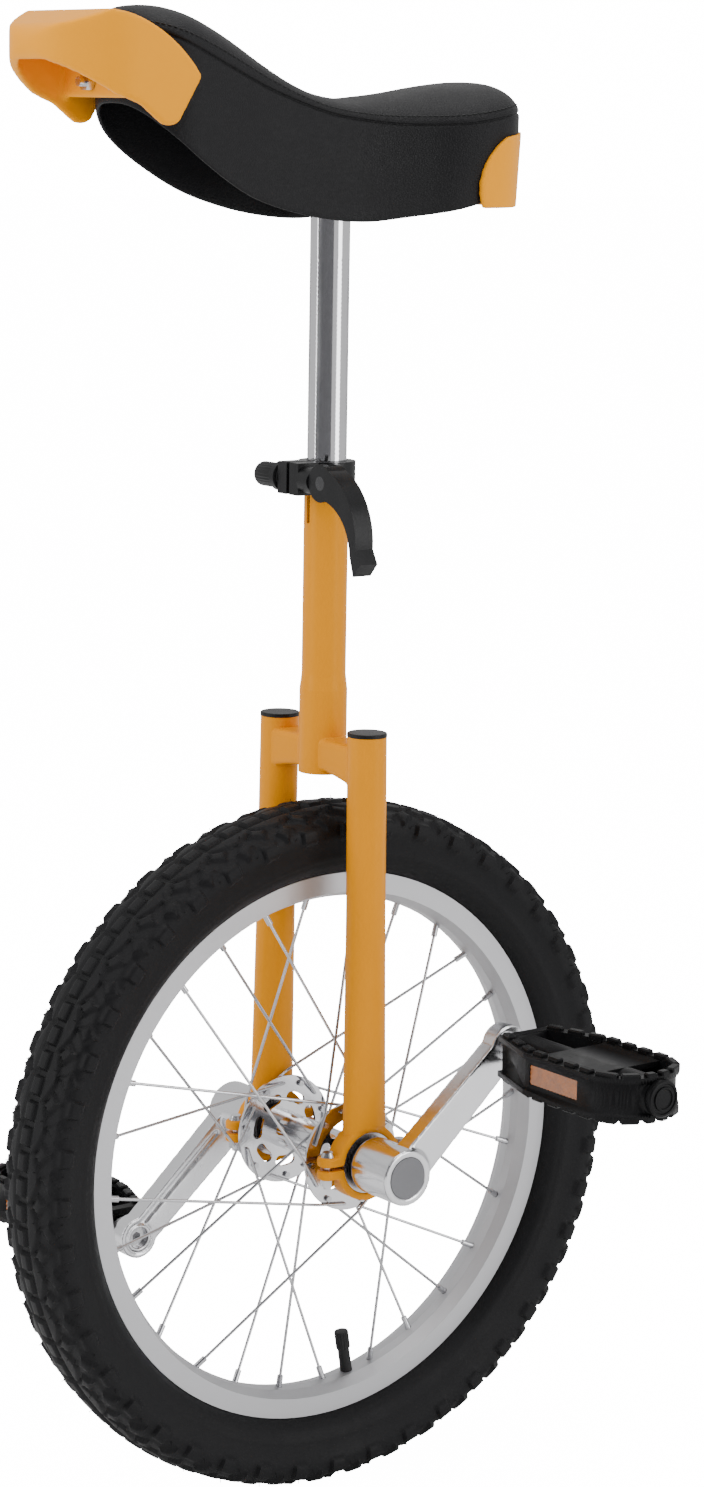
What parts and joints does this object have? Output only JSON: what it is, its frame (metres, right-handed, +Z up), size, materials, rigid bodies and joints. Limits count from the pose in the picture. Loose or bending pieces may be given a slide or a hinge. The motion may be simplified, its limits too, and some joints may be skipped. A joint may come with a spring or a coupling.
{
  "type": "unicycle",
  "caption": "Unicycle with a spoked wheel, knobby tyre, twin-leg frame, level plastic pedals, knurled seat post with quick-release clamp and a curved saddle with front grip handle.",
  "frame": {"origin": "on the ground under the wheel's axle, midway between the pedals' outer ends", "axes": "+Z up along the seat tube; the rider faces -Y; the axle lies along X, with +X on the rider's left"},
  "size_m": [0.492, 0.4598, 0.9614],
  "materials": {
    "tyre_rubber": "satin moulded rubber",
    "tube_rubber": "matte",
    "black_plastic": "satin",
    "valve_rubber": "matte",
    "rim_alloy": "satin silver",
    "spoke_steel": "bright",
    "hub_chrome": "bright plated",
    "steel": "ground",
    "bearing_seal": "matte",
    "crank_alloy": "polished",
    "bolt_chrome": "plated",
    "dust_cap_grey": "satin",
    "pedal_plastic": "moulded",
    "reflector_amber": "prismatic",
    "frame_paint": "gloss enamel",
    "clamp_black": "black coated",
    "pin_steel": "blackened",
    "post_chrome": "plated, knurled band",
    "plate_steel": "black",
    "base_plastic": "moulded",
    "foam": "open foam",
    "cover_vinyl": "grained vinyl",
    "handle_plastic": "satin moulded"
  },
  "bodies": {
    "frame": {"main_tube": "frame_paint", "crown_arms": "frame_paint", "leg_left": "frame_paint", "leg_right": "frame_paint", "leg_caps": "black_plastic", "bearing_holder_left": "frame_paint", "bearing_holder_right": "frame_paint", "bearing_cap_left": "frame_paint", "bearing_cap_right": "frame_paint", "holder_bolts": "bolt_chrome", "holder_nuts": "bolt_chrome", "bearing_outer_rings": "steel", "bearing_shields": "bearing_seal"},
    "pedal_left": {"pedal_body_left": "pedal_plastic", "pedal_reflectors_left": "reflector_amber", "pedal_end_cap_left": "pedal_plastic", "pedal_balls_left": "steel"},
    "pedal_right": {"pedal_body_right": "pedal_plastic", "pedal_reflectors_right": "reflector_amber", "pedal_end_cap_right": "pedal_plastic", "pedal_balls_right": "steel"},
    "seat_clamp": {"clamp_collar": "clamp_black", "clamp_skewer": "clamp_black", "clamp_washers": "clamp_black", "clamp_pivot_pin": "pin_steel"},
    "qr_lever": {"clamp_lever": "clamp_black"},
    "qr_nut": {"clamp_nut": "clamp_black"},
    "saddle": {"seat_post": "post_chrome", "seat_plate": "plate_steel", "seat_studs": "bolt_chrome", "seat_nuts": "bolt_chrome", "seat_base": "base_plastic", "seat_foam": "foam", "seat_cover": "cover_vinyl", "front_handle": "handle_plastic", "handle_bolts": "bolt_chrome", "handle_nuts": "bolt_chrome", "rear_bumper": "handle_plastic"},
    "wheel": {"bearing_balls": "steel", "bearing_inner_rings": "steel", "crank_bolts": "bolt_chrome", "crank_left": "crank_alloy", "crank_right": "crank_alloy", "dust_caps": "dust_cap_grey", "hub_barrel": "hub_chrome", "hub_flanges": "hub_chrome", "hub_spindle": "steel", "inner_tube": "tube_rubber", "nipples": "spoke_steel", "pedal_cone_left": "steel", "pedal_cone_right": "steel", "pedal_spindle_left": "steel", "pedal_spindle_right": "steel", "rim": "rim_alloy", "rim_tape": "tube_rubber", "spokes_left": "spoke_steel", "spokes_right": "spoke_steel", "tyre": "tyre_rubber", "valve_cap": "black_plastic", "valve_stem": "valve_rubber"}
  },
  "joints": [
    {"name": "wheel_spin", "type": "hinge", "parent": "frame", "child": "wheel", "pos_m": [0, 0, 0.23], "axis": [1, 0, 0], "continuous": true},
    {"name": "pedal_left_spin", "type": "hinge", "parent": "wheel", "child": "pedal_left", "pos_m": [0.18, 0.08388, 0.30421], "axis": [1, 0, 0], "continuous": true},
    {"name": "pedal_right_spin", "type": "hinge", "parent": "wheel", "child": "pedal_right", "pos_m": [-0.18, -0.08388, 0.15579], "axis": [1, 0, 0], "continuous": true},
    {"name": "saddle_turn", "type": "hinge", "parent": "frame", "child": "seat_clamp", "pos_m": [0, 0, 0.671], "axis": [0, 0, 1], "range_deg": [-180, 180]},
    {"name": "saddle_height", "type": "slide", "parent": "seat_clamp", "child": "saddle", "axis": [0, 0, 1], "range_m": [-0.075, 0.045]},
    {"name": "lever_open", "type": "hinge", "parent": "seat_clamp", "child": "qr_lever", "pos_m": [0.034, -0.0236, 0.671], "axis": [0, -1, 0], "range_deg": [0, 95]},
    {"name": "nut_turn", "type": "hinge", "parent": "seat_clamp", "child": "qr_nut", "pos_m": [-0.025, -0.0236, 0.671], "axis": [1, 0, 0], "continuous": true}
  ]
}
